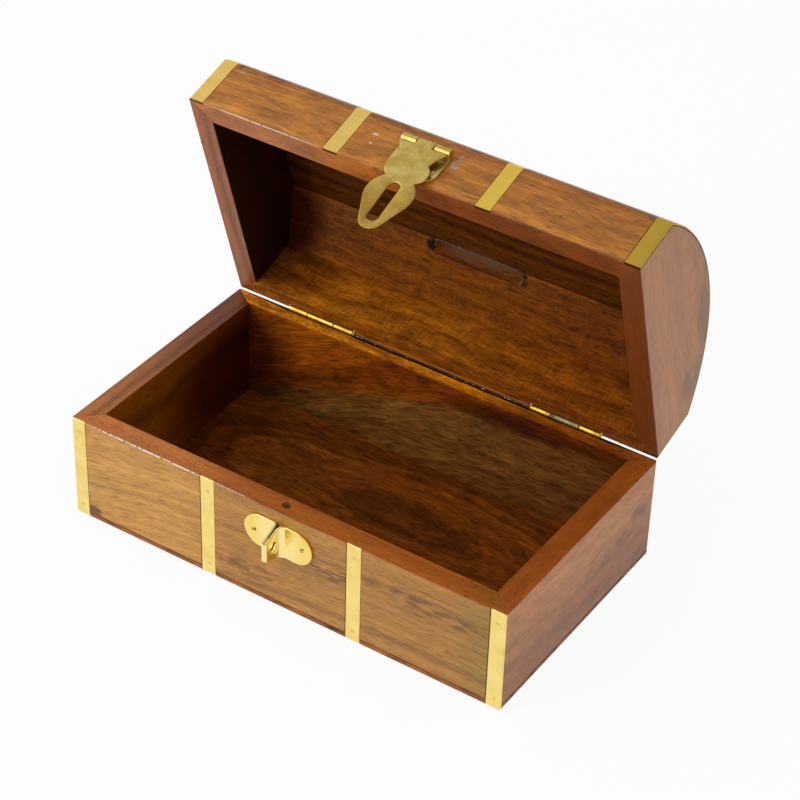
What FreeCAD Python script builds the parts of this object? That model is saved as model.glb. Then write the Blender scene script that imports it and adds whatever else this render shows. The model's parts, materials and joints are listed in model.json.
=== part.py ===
import FreeCAD, Part
import os
import Sketcher

# A small dome-lidded wooden chest used as a donation box. The base and the lid are mitred wooden walls,
# the dome is three glued slats with a coin slot, and brass bands, hinges, a hasp and a staple dress it.
# Millimetres. The origin is the middle of the underside, +X is the box's right, the front faces -Y.
# The lid is modelled shut and then swung open about the hinge pins, as it stands when the box is open.

doc = FreeCAD.newDocument("donation_box")
sheet = doc.addObject("Spreadsheet::Sheet", "Sizes")

# Driving dimensions
sizes = [
    ("box_length", 200, "outside, left to right"),
    ("box_depth", 110, "outside, front to back"),
    ("wall_thickness", 9.5, "front walls and ends of base and lid"),
    ("back_thickness", 6.8, "back walls of base and lid"),
    ("corner_round", 0.8, "sanded outer corners"),
    ("base_height", 48, "underside to rim"),
    ("floor_thickness", 3.8, "board under the walls"),
    ("floor_edge_round", 2.5, "rounded edge of the underside"),
    ("rim_gap", 0.5, "between the two rims when shut"),
    ("rim_hole_radius", 1.9, "drilled in the front rim"),
    ("rim_hole_depth", 9, "drilled in the front rim"),
    ("rim_hole_setback", 5.1, "front face to hole centre"),
    ("lid_open_angle", 73.2, "degrees, from shut"),
    ("lid_height", 46.5, "rim to top of dome"),
    ("shoulder_height", 24, "rim to where the dome starts"),
    ("lid_wall_height", 22, "rim to the joint with the slats"),
    ("centre_slat_width", 44, "middle slat of the dome"),
    ("centre_ceiling", 35.3, "rim to inside of the middle slat"),
    ("side_ceiling", 23.6, "rim to inside of a side slat at its wall"),
    ("coin_slot_length", 44, "end to end"),
    ("coin_slot_width", 6, "front to back"),
    ("band_width", 6.5, "brass strip"),
    ("band_thickness", 1, "brass strip, let in flush"),
    ("band_inset", 66.1, "end of the box to the middle of an inner band"),
    ("band_pin_radius", 0.7, "pin through a base band"),
    ("band_pin_length", 6, "pin through a base band"),
    ("band_pin_inset", 6, "end of a base band to its pin"),
    ("hinge_length", 31.75, "an inch and a quarter"),
    ("hinge_inset", 25.5, "end of the box to a hinge"),
    ("hinge_setback", 0.6, "back face to pin axis"),
    ("hinge_leaf_height", 8.5, "pin axis to edge of a leaf"),
    ("hinge_leaf_thickness", 1, "sheet of a leaf"),
    ("hinge_barrel_radius", 1.5, "outside of the knuckles"),
    ("hinge_pin_radius", 0.8, "pin in the knuckles"),
    ("hinge_outer_knuckle", 9.2, "length of each base knuckle"),
    ("hinge_notch_room", 0.6, "wood cut away past each end of a barrel"),
    ("hinge_nail_spread", 10, "hinge middle to a nail"),
    ("hinge_nail_drop", 5.4, "pin axis to a nail"),
    ("brass_sheet", 1, "sheet of hasp and staple"),
    ("hasp_width", 21.5, "along the hasp pin"),
    ("hasp_height", 16.4, "lid rim to hasp pin axis"),
    ("hasp_barrel_radius", 2, "outside of the knuckles"),
    ("hasp_pin_radius", 1, "pin in the knuckles"),
    ("hasp_pin_inset", 0.8, "end of the knuckles to end of the pin"),
    ("hasp_outer_knuckle", 6.6, "length of each fixed knuckle"),
    ("hasp_leaf_gap", 1.5, "lid rim to lower edge of the fixed leaf"),
    ("hasp_leaf_round", 5, "lower corners of the fixed leaf"),
    ("hasp_nail_spread", 7.7, "hasp middle to a nail"),
    ("hasp_nail_height", 7, "lid rim to a nail"),
    ("strap_tilt", 2.8, "degrees, strap leaning towards the wall"),
    ("strap_top_inset", 0.25, "side of the strap below the knuckles, in from the side of the leaf"),
    ("strap_notch_width", 14.8, "notch above the lobes"),
    ("strap_notch_distance", 9.3, "pin axis to notch"),
    ("strap_lobe_radius", 5.6, "round lobes"),
    ("strap_lobe_spread", 3.5, "hasp middle to lobe centre"),
    ("strap_lobe_distance", 14.3, "pin axis to lobe centre"),
    ("strap_tail_radius", 10, "broad part of the tail"),
    ("strap_tail_distance", 27.3, "pin axis to broad part of the tail"),
    ("strap_tip_radius", 5.2, "rounded tip"),
    ("strap_tip_margin", 3.6, "end of the slot to the tip"),
    ("strap_slot_distance", 31.05, "pin axis to middle of the slot"),
    ("slot_side_room", 1.1, "slot edge to staple tab, each side"),
    ("slot_end_room", 2.35, "slot longer than the staple, each end"),
    ("staple_length", 31.3, "ear to ear"),
    ("staple_height", 15, "ears, top to bottom"),
    ("staple_raise", 1.4, "staple middle above the slot's middle, shut"),
    ("staple_nail_spread", 11.1, "staple middle to a nail"),
    ("tab_projection", 10.5, "front face to end of the tab"),
    ("tab_tip_low", 3.2, "slope of the tab's lower edge"),
    ("tab_tip_high", 4, "slope of the tab's upper edge"),
    ("tab_fold_gap", 0.6, "between the two plies of the tab"),
    ("padlock_hole_radius", 2.2, "hole in the tab"),
    ("padlock_hole_distance", 5.6, "front face to hole centre"),
    ("nail_radius", 0.6, "shank"),
    ("nail_length", 6, "shank under the sheet and in the wood"),
    ("nail_head_radius", 1.15, "round head"),
    ("nail_head_height", 0.3, "round head"),
    ("running_clearance", 0.05, "moving knuckle on its pin"),
    ("moving_clearance", 0.35, "between pieces that pass each other"),
]
for row, (name, size, meaning) in enumerate(sizes, start=1):
    sheet.set(f"A{row}", meaning)
    sheet.set(f"B{row}", str(size))
    sheet.setAlias(f"B{row}", name)
doc.recompute()

# Places worked out from the driving dimensions, as expressions
half_length = "(Sizes.box_length / 2)"
half_depth = "(Sizes.box_depth / 2)"
inner_half_length = f"({half_length} - Sizes.wall_thickness)"
front = f"(-{half_depth})"
front_inside = f"({front} + Sizes.wall_thickness)"
back_inside = f"({half_depth} - Sizes.back_thickness)"
lid_rim = "(Sizes.base_height + Sizes.rim_gap)"
lid_shelf = f"({lid_rim} + Sizes.lid_wall_height)"
lid_blank_top = f"({lid_rim} + Sizes.lid_height + Sizes.wall_thickness)"
dome_rise = "(Sizes.lid_height - Sizes.shoulder_height)"
dome_radius = f"(({half_depth}^2 + {dome_rise}^2) / (2 * {dome_rise}))"
dome_axis_height = f"({lid_rim} + Sizes.lid_height - {dome_radius})"
hinge_offset = f"({half_length} - Sizes.hinge_inset - Sizes.hinge_length / 2)"
hinge_y = f"({half_depth} + Sizes.hinge_setback)"
hinge_z = "(Sizes.base_height + Sizes.rim_gap / 2)"
hasp_y = f"({front} - Sizes.hasp_barrel_radius - Sizes.moving_clearance)"
hasp_z = f"({lid_rim} + Sizes.hasp_height)"

# Frames that a piece can be placed in: fixed, swinging with the lid, hanging with the hasp strap
base_frame = "placement(vector(0; 0; 0); rotation(vector(1; 0; 0); 0))"
lid_turn = "rotation(vector(1; 0; 0); -Sizes.lid_open_angle)"
lid_frame = f"placement(vector(0; 0; 0); {lid_turn}; vector(0; {hinge_y}; {hinge_z}))"
strap_turn = "rotation(vector(1; 0; 0); Sizes.strap_tilt)"
strap_frame = f"{lid_frame} * placement(vector(0; 0; 0); {strap_turn}; vector(0; {hasp_y}; {hasp_z}))"

# How a rod that points up is turned to point another way
turn_towards = {
    "X": "rotation(vector(0; 1; 0); 90)",
    "Y": "rotation(vector(1; 0; 0); -90)",
    "-Y": "rotation(vector(1; 0; 0); 90)",
    "Z": "rotation(vector(0; 0; 1); 0)",
}
subparts = []


def place(thing, frame, corner, turn):
    """Binds a primitive's placement: its own corner and turn, carried by a frame."""
    x, y, z = corner
    thing.setExpression("Placement", f"{frame} * placement(vector({x}; {y}; {z}); {turn})")
    return thing


def box(name, frame, low, high):
    """A block between two opposite corners."""
    thing = doc.addObject("Part::Box", name)
    for side, start, end in zip(("Length", "Width", "Height"), low, high):
        thing.setExpression(side, f"({end}) - ({start})")
    return place(thing, frame, low, turn_towards["Z"])


def rod(name, frame, direction, start, length, radius):
    """A round bar from a start point along a direction."""
    thing = doc.addObject("Part::Cylinder", name)
    thing.setExpression("Radius", radius)
    thing.setExpression("Height", length)
    return place(thing, frame, start, turn_towards[direction])


def prism(name, frame, plane, start, length, corners, dome=None):
    """A body padded from an outline of straight edges, drawn on an origin plane moved out to a start.

    A dome makes the last edge an arc, given by the height of its top and its radius."""
    body = doc.addObject("PartDesign::Body", name)
    support = [feature for feature in body.Origin.OriginFeatures if feature.Role == plane][0]
    sketch = body.newObject("Sketcher::SketchObject", f"{name}_outline")
    sketch.AttachmentSupport = [(support, "")]
    sketch.MapMode = "FlatFace"
    sketch.setExpression(".AttachmentOffset.Base.z", start)
    count = len(corners)
    points = []
    for across, up in corners:
        points.append(FreeCAD.Vector(sheet.evalExpression(across), sheet.evalExpression(up), 0))
    for index in range(count - 1):
        sketch.addGeometry(Part.LineSegment(points[index], points[index + 1]))
    if dome:
        top_height, radius = dome
        top = FreeCAD.Vector(0, sheet.evalExpression(top_height), 0)
        last_edge = sketch.addGeometry(Part.Arc(points[-1], top, points[0]))
        radius_now = sheet.evalExpression(radius)
        number = sketch.addConstraint(Sketcher.Constraint("Radius", last_edge, radius_now))
        sketch.setExpression(f"Constraints[{number}]", radius)
    else:
        sketch.addGeometry(Part.LineSegment(points[-1], points[0]))
    for index in range(count):
        sketch.addConstraint(Sketcher.Constraint("Coincident", index, 2, (index + 1) % count, 1))
    for index, (across, up) in enumerate(corners):
        distances = (("DistanceX", across, points[index].x), ("DistanceY", up, points[index].y))
        for way, distance, distance_now in distances:
            number = sketch.addConstraint(Sketcher.Constraint(way, -1, 1, index, 1, distance_now))
            sketch.setExpression(f"Constraints[{number}]", distance)
    pad = body.newObject("PartDesign::Pad", f"{name}_pad")
    pad.Profile = sketch
    pad.setExpression("Length", length)
    body.setExpression("Placement", frame)
    return body


def fuse(name, pieces):
    """One solid from touching pieces."""
    thing = doc.addObject("Part::MultiFuse", name)
    thing.Shapes = pieces
    thing.Refine = True
    return thing


def common(name, first, second):
    """What two pieces share."""
    thing = doc.addObject("Part::MultiCommon", name)
    thing.Shapes = [first, second]
    return thing


def cut(name, base, tools):
    """A piece with the space of other pieces taken out of it."""
    thing = doc.addObject("Part::Cut", name)
    thing.Base = base
    thing.Tool = tools[0]
    if len(tools) > 1:
        thing.Tool = fuse(f"{name}_cutters", tools)
    return thing


def keep(thing):
    """Lists a finished sub-part, whose label names its file."""
    subparts.append(thing)
    return thing


def nails(name, frame, places, face, inward, outward):
    """A group of round-headed nails, each from a sheet's outer face into the wood."""
    made = []
    for number, (x, z) in enumerate(places):
        shank_name = f"{name}_shank_{number}"
        shank = rod(shank_name, frame, inward, (x, face, z), "Sizes.nail_length", "Sizes.nail_radius")
        head = doc.addObject("Part::Cone", f"{name}_head_{number}")
        head.setExpression("Radius1", "Sizes.nail_head_radius")
        head.setExpression("Radius2", "Sizes.nail_head_radius - Sizes.nail_head_height")
        head.setExpression("Height", "Sizes.nail_head_height")
        place(head, frame, (x, face, z), turn_towards[outward])
        made.append(fuse(f"{name}_{number}", [shank, head]))
    thing = doc.addObject("Part::Compound", name)
    thing.Links = made
    return keep(thing)


def round_edges(body, name, wanted, radius):
    """Rounds the edges of a body that a test picks."""
    doc.recompute()
    before = body.Tip
    picked = [f"Edge{number}" for number, edge in enumerate(before.Shape.Edges, start=1) if wanted(edge)]
    rounding = body.newObject("PartDesign::Fillet", name)
    rounding.Base = (before, picked)
    rounding.setExpression("Radius", radius)


def mitred_wall(name, frame, outer, inner, low, height):
    """A long wall between an outer and an inner face, with both ends cut at the mitre."""
    corners = [
        (f"-{half_length}", outer),
        (half_length, outer),
        (inner_half_length, inner),
        (f"-{inner_half_length}", inner),
    ]
    return prism(name, frame, "XY_Plane", low, height, corners)


# Where the four brass bands lie along the length
band_offset = f"({half_length} - Sizes.band_inset)"
band_places = {
    "left_end": (f"-{half_length}", f"-{half_length} + Sizes.band_width"),
    "left": (f"-{band_offset} - Sizes.band_width / 2", f"-{band_offset} + Sizes.band_width / 2"),
    "right": (f"{band_offset} - Sizes.band_width / 2", f"{band_offset} + Sizes.band_width / 2"),
    "right_end": (f"{half_length} - Sizes.band_width", half_length),
}

# Outline of the base: a block whose lower edges are rounded over and whose corners are sanded
outline_corners = [
    (f"-{half_length}", f"-{half_depth}"),
    (half_length, f"-{half_depth}"),
    (half_length, half_depth),
    (f"-{half_length}", half_depth),
]
base_outline = prism("base_outline", base_frame, "XY_Plane", "0", "Sizes.base_height", outline_corners)


def is_lower_edge(edge):
    return edge.BoundBox.ZMax < sheet.floor_edge_round


def is_upright_corner(edge):
    return edge.BoundBox.ZLength > sheet.base_height / 2


round_edges(base_outline, "base_lower_rounding", is_lower_edge, "Sizes.floor_edge_round")
round_edges(base_outline, "base_corner_rounding", is_upright_corner, "Sizes.corner_round")

# Brass bands of the base: strips let into the front from rim to underside, each held by two flush pins
band_back = f"{front} + Sizes.band_thickness"
pin_heights = {
    "lower": "Sizes.band_pin_inset",
    "upper": "Sizes.base_height - Sizes.band_pin_inset",
}
pin_rods = []
for name, (low, high) in band_places.items():
    middle = f"(({low}) + ({high})) / 2"
    for which, pin_height in pin_heights.items():
        pin_name = f"{which}_pin_{name}"
        pin_start = (middle, front, pin_height)
        pin = rod(pin_name, base_frame, "Y", pin_start, "Sizes.band_pin_length", "Sizes.band_pin_radius")
        pin_rods.append(pin)
base_band_pins = doc.addObject("Part::Compound", "base_band_pins")
base_band_pins.Links = pin_rods
keep(base_band_pins)
base_bands = {}
for name, (low, high) in band_places.items():
    strip = box(f"base_strip_{name}", base_frame, (low, front, "0"), (high, band_back, "Sizes.base_height"))
    blank = common(f"base_band_blank_{name}", base_outline, strip)
    base_bands[name] = keep(cut(f"base_band_{name}", blank, [base_band_pins]))

# Staple: one brass sheet folded into a double tab between two round-ended ears
staple_z = f"({hasp_z} - Sizes.strap_slot_distance + Sizes.staple_raise)"
staple_low = f"({staple_z} - Sizes.staple_height / 2)"
staple_high = f"({staple_z} + Sizes.staple_height / 2)"
ear_radius = "(Sizes.staple_height / 2)"
ear_reach = f"(Sizes.staple_length / 2 - {ear_radius})"
ear_face = f"({front} - Sizes.brass_sheet)"
tab_end = f"({front} - Sizes.tab_projection)"
tab_thickness = "(2 * Sizes.brass_sheet + Sizes.tab_fold_gap)"
tab_corners = [
    (front, staple_low),
    (tab_end, f"{staple_low} + Sizes.tab_tip_low"),
    (tab_end, f"{staple_high} - Sizes.tab_tip_high"),
    (front, staple_high),
]
plate_low = (f"-{ear_reach}", ear_face, staple_low)
staple_pieces = [box("staple_plate", base_frame, plate_low, (ear_reach, front, staple_high))]
for side, reach in (("left", f"-{ear_reach}"), ("right", ear_reach)):
    ear_start = (reach, ear_face, staple_z)
    staple_pieces.append(rod(f"ear_{side}", base_frame, "Y", ear_start, "Sizes.brass_sheet", ear_radius))
tab = prism("staple_tab", base_frame, "YZ_Plane", f"-{tab_thickness} / 2", tab_thickness, tab_corners)
staple_pieces.append(tab)
fold_low = ("-Sizes.tab_fold_gap / 2", f"{tab_end} + Sizes.brass_sheet", staple_low)
fold_high = ("Sizes.tab_fold_gap / 2", front, staple_high)
fold = box("staple_fold", base_frame, fold_low, fold_high)
hole_start = (f"-{tab_thickness}", f"{front} - Sizes.padlock_hole_distance", staple_z)
hole = rod("padlock_hole", base_frame, "X", hole_start, f"2 * {tab_thickness}", "Sizes.padlock_hole_radius")
staple_nail_places = [("-Sizes.staple_nail_spread", staple_z), ("Sizes.staple_nail_spread", staple_z)]
staple_nails = nails("staple_nails", base_frame, staple_nail_places, ear_face, "Y", "-Y")
keep(cut("staple", fuse("staple_blank", staple_pieces), [fold, hole, staple_nails]))


# Hinges: two brass butt hinges let into the back faces, with two knuckles on the base and one on the lid
def hinge(side, middle):
    """Makes one hinge and returns what it takes out of the base's and the lid's back wall."""
    left = f"({middle} - Sizes.hinge_length / 2)"
    right = f"({middle} + Sizes.hinge_length / 2)"
    leaf_inside = f"({half_depth} - Sizes.hinge_leaf_thickness)"
    reach = "(Sizes.hinge_barrel_radius + Sizes.moving_clearance)"
    web = "Sizes.hinge_barrel_radius / 2"
    centre_left = f"({left} + Sizes.hinge_outer_knuckle + Sizes.moving_clearance)"
    centre_right = f"({right} - Sizes.hinge_outer_knuckle - Sizes.moving_clearance)"
    nail_left = f"{middle} - Sizes.hinge_nail_spread"
    nail_right = f"{middle} + Sizes.hinge_nail_spread"

    def knuckle(name, frame, start, end):
        start_point = (start, hinge_y, hinge_z)
        length = f"({end}) - ({start})"
        return rod(f"{name}_{side}", frame, "X", start_point, length, "Sizes.hinge_barrel_radius")

    pin_name = f"hinge_pin_{side}"
    pin_place = (left, hinge_y, hinge_z)
    pin = rod(pin_name, base_frame, "X", pin_place, "Sizes.hinge_length", "Sizes.hinge_pin_radius")
    keep(pin)

    # Base leaf, holding the pin in its outer knuckles
    leaf_edge = f"{hinge_z} - Sizes.hinge_leaf_height"
    leaf_low = (left, leaf_inside, leaf_edge)
    pieces = [box(f"base_plate_{side}", base_frame, leaf_low, (right, half_depth, f"{hinge_z} - {reach}"))]
    outer_ends = (
        ("first", left, f"{left} + Sizes.hinge_outer_knuckle"),
        ("last", f"{right} - Sizes.hinge_outer_knuckle", right),
    )
    for which, start, end in outer_ends:
        web_low = (start, leaf_inside, leaf_edge)
        web_high = (end, half_depth, f"{hinge_z} - {web}")
        pieces.append(box(f"base_web_{which}_{side}", base_frame, web_low, web_high))
        pieces.append(knuckle(f"base_knuckle_{which}", base_frame, start, end))
    nail_z = f"{hinge_z} - Sizes.hinge_nail_drop"
    nail_places = [(nail_left, nail_z), (nail_right, nail_z)]
    base_nails = nails(f"hinge_base_nails_{side}", base_frame, nail_places, half_depth, "-Y", "Y")
    keep(cut(f"hinge_base_leaf_{side}", fuse(f"base_leaf_blank_{side}", pieces), [pin, base_nails]))

    # Lid leaf, turning on the pin with its middle knuckle
    leaf_edge = f"{hinge_z} + Sizes.hinge_leaf_height"
    plate_low = (left, leaf_inside, f"{hinge_z} + {reach}")
    pieces = [box(f"lid_plate_{side}", lid_frame, plate_low, (right, half_depth, leaf_edge))]
    web_low = (centre_left, leaf_inside, f"{hinge_z} + {web}")
    pieces.append(box(f"lid_web_{side}", lid_frame, web_low, (centre_right, half_depth, leaf_edge)))
    pieces.append(knuckle("lid_knuckle", lid_frame, centre_left, centre_right))
    bore_radius = "Sizes.hinge_pin_radius + Sizes.running_clearance"
    bore = rod(f"lid_knuckle_bore_{side}", lid_frame, "X", pin_place, "Sizes.hinge_length", bore_radius)
    nail_z = f"{hinge_z} + Sizes.hinge_nail_drop"
    nail_places = [(nail_left, nail_z), (nail_right, nail_z)]
    lid_nails = nails(f"hinge_lid_nails_{side}", lid_frame, nail_places, half_depth, "-Y", "Y")
    keep(cut(f"hinge_lid_leaf_{side}", fuse(f"lid_leaf_blank_{side}", pieces), [bore, lid_nails]))

    # Wood taken away: a recess for each leaf and a round notch for the barrel
    notch_start = (f"{left} - Sizes.hinge_notch_room", hinge_y, hinge_z)
    notch_length = "Sizes.hinge_length + 2 * Sizes.hinge_notch_room"
    base_low = (left, leaf_inside, f"{hinge_z} - Sizes.hinge_leaf_height")
    lid_high = (right, half_depth, leaf_edge)
    base_cuts = [
        box(f"base_recess_{side}", base_frame, base_low, (right, half_depth, "Sizes.base_height")),
        rod(f"base_notch_{side}", base_frame, "X", notch_start, notch_length, reach),
        base_nails,
    ]
    lid_cuts = [
        box(f"lid_recess_{side}", lid_frame, (left, leaf_inside, lid_rim), lid_high),
        rod(f"lid_notch_{side}", lid_frame, "X", notch_start, notch_length, reach),
        lid_nails,
    ]
    return base_cuts, lid_cuts


left_base_cuts, left_lid_cuts = hinge("left", f"(-{hinge_offset})")
right_base_cuts, right_lid_cuts = hinge("right", hinge_offset)

# Base: a floor board under four mitred walls
floor_low = (f"-{half_length}", front, "0")
floor_high = (half_length, half_depth, "Sizes.floor_thickness")
floor_blank = common("floor_blank", base_outline, box("floor_slab", base_frame, floor_low, floor_high))
keep(cut("base_floor", floor_blank, list(base_bands.values())))
wall_height = "Sizes.base_height - Sizes.floor_thickness"
wall_low = "Sizes.floor_thickness"
front_board = mitred_wall("base_front_board", base_frame, front, front_inside, wall_low, wall_height)
back_board = mitred_wall("base_back_board", base_frame, half_depth, back_inside, wall_low, wall_height)
front_blank = common("base_front_blank", base_outline, front_board)
back_blank = common("base_back_blank", base_outline, back_board)
rim_hole_place = ("0", f"{front} + Sizes.rim_hole_setback", "Sizes.base_height - Sizes.rim_hole_depth")
rim_hole = rod("rim_hole", base_frame, "Z", rim_hole_place, "Sizes.rim_hole_depth", "Sizes.rim_hole_radius")
front_cuts = list(base_bands.values()) + [base_band_pins, staple_nails, rim_hole]
keep(cut("base_front_wall", front_blank, front_cuts))
keep(cut("base_back_wall", back_blank, left_base_cuts + right_base_cuts))
end_places = {
    "left": (f"-{half_length}", f"-{inner_half_length}"),
    "right": (inner_half_length, half_length),
}
for side, (low, high) in end_places.items():
    end_low = (low, front, wall_low)
    end_board = box(f"base_{side}_board", base_frame, end_low, (high, half_depth, "Sizes.base_height"))
    end_blank = common(f"base_{side}_blank", base_outline, end_board)
    end_cuts = [front_board, back_board, base_bands[f"{side}_end"], base_band_pins]
    keep(cut(f"base_{side}_wall", end_blank, end_cuts))


# Outline of the lid: upright sides under a round dome, with sanded edges, and the core under its brass bands
shoulder = f"({lid_rim} + Sizes.shoulder_height)"
lid_top = f"({lid_rim} + Sizes.lid_height)"
lid_corners = [(front, shoulder), (front, lid_rim), (half_depth, lid_rim), (half_depth, shoulder)]
lid_length = (f"-{half_length}", "Sizes.box_length")
lid_dome = (lid_top, dome_radius)
lid_outline = prism("lid_outline", lid_frame, "YZ_Plane", *lid_length, lid_corners, lid_dome)


def is_above_rim(edge):
    return edge.BoundBox.ZMax > sheet.base_height + sheet.shoulder_height / 2


round_edges(lid_outline, "lid_outline_rounding", is_above_rim, "Sizes.corner_round")
core_low = (f"-{half_length}", f"{front} + Sizes.band_thickness", lid_rim)
core_high = (half_length, f"{half_depth} - Sizes.band_thickness", lid_blank_top)
core_block = box("lid_core_block", lid_frame, core_low, core_high)
core_axis = (f"-{half_length}", "0", dome_axis_height)
core_radius = f"{dome_radius} - Sizes.band_thickness"
core_dome = rod("lid_core_dome", lid_frame, "X", core_axis, "Sizes.box_length", core_radius)
lid_skin = cut("lid_skin", lid_outline, [common("lid_core", core_block, core_dome)])

# Brass bands of the lid: strips let in over the front, the dome and the back
lid_bands = {}
for name, (low, high) in band_places.items():
    strip_low = (low, front, lid_rim)
    strip = box(f"lid_strip_{name}", lid_frame, strip_low, (high, half_depth, lid_blank_top))
    lid_bands[name] = keep(common(f"lid_band_{name}", lid_skin, strip))
inner_bands = [lid_bands["left"], lid_bands["right"]]

# Hasp: a leaf nailed to the lid's front, a pin, and the strap that hangs from it
hasp_left = "(-Sizes.hasp_width / 2)"
hasp_right = "(Sizes.hasp_width / 2)"
strap_half_knuckle = "(Sizes.hasp_width / 2 - Sizes.hasp_outer_knuckle - Sizes.moving_clearance)"
hasp_reach = "(Sizes.hasp_barrel_radius + Sizes.moving_clearance)"
hasp_axis_start = (hasp_left, hasp_y, hasp_z)
pin_start = (f"{hasp_left} + Sizes.hasp_pin_inset", hasp_y, hasp_z)
pin_length = "Sizes.hasp_width - 2 * Sizes.hasp_pin_inset"
hasp_pin = keep(rod("hasp_pin", lid_frame, "X", pin_start, pin_length, "Sizes.hasp_pin_radius"))
hasp_bore = rod("hasp_bore", lid_frame, "X", hasp_axis_start, "Sizes.hasp_width", "Sizes.hasp_pin_radius")
leaf_face = f"({front} - Sizes.brass_sheet)"
leaf_bottom = f"({lid_rim} + Sizes.hasp_leaf_gap)"
leaf_turn = f"({leaf_bottom} + Sizes.hasp_leaf_round)"
leaf_reach = "(Sizes.hasp_width / 2 - Sizes.hasp_leaf_round)"
foot_low = (f"-{leaf_reach}", leaf_face, leaf_bottom)
leaf_pieces = [
    box("hasp_leaf_plate", lid_frame, (hasp_left, leaf_face, leaf_turn), (hasp_right, front, hasp_z)),
    box("hasp_leaf_foot", lid_frame, foot_low, (leaf_reach, front, leaf_turn)),
]
for which, across in (("left", f"-{leaf_reach}"), ("right", leaf_reach)):
    name = f"leaf_corner_{which}"
    corner = (across, leaf_face, leaf_turn)
    leaf_pieces.append(rod(name, lid_frame, "Y", corner, "Sizes.brass_sheet", "Sizes.hasp_leaf_round"))
for which, start in (("left", hasp_left), ("right", f"{hasp_right} - Sizes.hasp_outer_knuckle")):
    name = f"hasp_knuckle_{which}"
    start_point = (start, hasp_y, hasp_z)
    length = "Sizes.hasp_outer_knuckle"
    leaf_pieces.append(rod(name, lid_frame, "X", start_point, length, "Sizes.hasp_barrel_radius"))
gap_half = f"({strap_half_knuckle} + Sizes.moving_clearance)"
gap_start = (f"-{gap_half}", hasp_y, hasp_z)
strap_gap = rod("hasp_strap_gap", lid_frame, "X", gap_start, f"2 * {gap_half}", hasp_reach)
hasp_nail_z = f"{lid_rim} + Sizes.hasp_nail_height"
hasp_nail_places = [("-Sizes.hasp_nail_spread", hasp_nail_z), ("Sizes.hasp_nail_spread", hasp_nail_z)]
hasp_nails = nails("hasp_nails", lid_frame, hasp_nail_places, leaf_face, "Y", "-Y")
keep(cut("hasp_leaf", fuse("hasp_leaf_blank", leaf_pieces), [hasp_bore, strap_gap, hasp_nails]))

# Strap: a flat plate with two lobes and a leaf-shaped tail, slotted to drop over the staple's tab
strap_outside = f"({hasp_y} - Sizes.hasp_barrel_radius)"
strap_inside = f"({strap_outside} + Sizes.brass_sheet)"
slot_half_width = f"({tab_thickness} / 2 + Sizes.slot_side_room)"
slot_half_length = "(Sizes.staple_height / 2 + Sizes.slot_end_room)"
strap_length = f"(Sizes.strap_slot_distance + {slot_half_length} + Sizes.strap_tip_margin)"
tip_distance = f"({strap_length} - Sizes.strap_tip_radius)"
taper_run = f"({tip_distance} - Sizes.strap_tail_distance)"
taper_sine = f"((Sizes.strap_tail_radius - Sizes.strap_tip_radius) / {taper_run})"
taper_cosine = f"sqrt(1 - {taper_sine}^2)"


def strap_plate(name, half_corners):
    """Part of the flat strap, symmetrical about its middle, from half widths and distances off the pin."""
    right = [(half, f"{hasp_z} - ({distance})") for half, distance in half_corners]
    left = [(f"-({half})", up) for half, up in reversed(right)]
    return prism(name, strap_frame, "XZ_Plane", f"-{strap_inside}", "Sizes.brass_sheet", right + left)


def strap_disc(name, across, distance, radius):
    """A round part of the flat strap, or a round end of its slot."""
    start = (across, strap_outside, f"{hasp_z} - ({distance})")
    return rod(name, strap_frame, "Y", start, "Sizes.brass_sheet", radius)


upper_corners = [
    ("Sizes.hasp_width / 2 - Sizes.strap_top_inset", hasp_reach),
    ("Sizes.strap_notch_width / 2", "Sizes.strap_notch_distance"),
    ("Sizes.strap_lobe_spread", "Sizes.strap_lobe_distance"),
]
taper_corners = [
    (
        f"Sizes.strap_tail_radius * {taper_cosine}",
        f"Sizes.strap_tail_distance + Sizes.strap_tail_radius * {taper_sine}",
    ),
    (
        f"Sizes.strap_tip_radius * {taper_cosine}",
        f"{tip_distance} + Sizes.strap_tip_radius * {taper_sine}",
    ),
]
knuckle_start = (f"-{strap_half_knuckle}", hasp_y, hasp_z)
neck_low = (f"-{strap_half_knuckle}", strap_outside, f"{hasp_z} - {hasp_reach}")
knuckle_length = f"2 * {strap_half_knuckle}"
strap_pieces = [
    rod("strap_knuckle", strap_frame, "X", knuckle_start, knuckle_length, "Sizes.hasp_barrel_radius"),
    box("strap_neck", strap_frame, neck_low, (strap_half_knuckle, strap_inside, hasp_z)),
    strap_plate("strap_upper", upper_corners),
    strap_plate("strap_taper", taper_corners),
    strap_disc("strap_tail", "0", "Sizes.strap_tail_distance", "Sizes.strap_tail_radius"),
    strap_disc("strap_tip", "0", tip_distance, "Sizes.strap_tip_radius"),
]
for side, across in (("left", "-Sizes.strap_lobe_spread"), ("right", "Sizes.strap_lobe_spread")):
    lobe = strap_disc(f"lobe_{side}", across, "Sizes.strap_lobe_distance", "Sizes.strap_lobe_radius")
    strap_pieces.append(lobe)
slot_straight = f"({slot_half_length} - {slot_half_width})"
slot_z = f"({hasp_z} - Sizes.strap_slot_distance)"
slot_low = (f"-{slot_half_width}", strap_outside, f"{slot_z} - {slot_straight}")
slot_high = (slot_half_width, strap_inside, f"{slot_z} + {slot_straight}")
slot_pieces = [box("slot_middle", strap_frame, slot_low, slot_high)]
for which, way in (("upper", "-"), ("lower", "+")):
    distance = f"Sizes.strap_slot_distance {way} {slot_straight}"
    slot_pieces.append(strap_disc(f"slot_{which}", "0", distance, slot_half_width))
strap_bore_radius = "Sizes.hasp_pin_radius + Sizes.running_clearance"
strap_bore = rod("strap_bore", strap_frame, "X", hasp_axis_start, "Sizes.hasp_width", strap_bore_radius)
keep(cut("hasp_strap", fuse("strap_blank", strap_pieces), slot_pieces + [strap_bore]))

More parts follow.
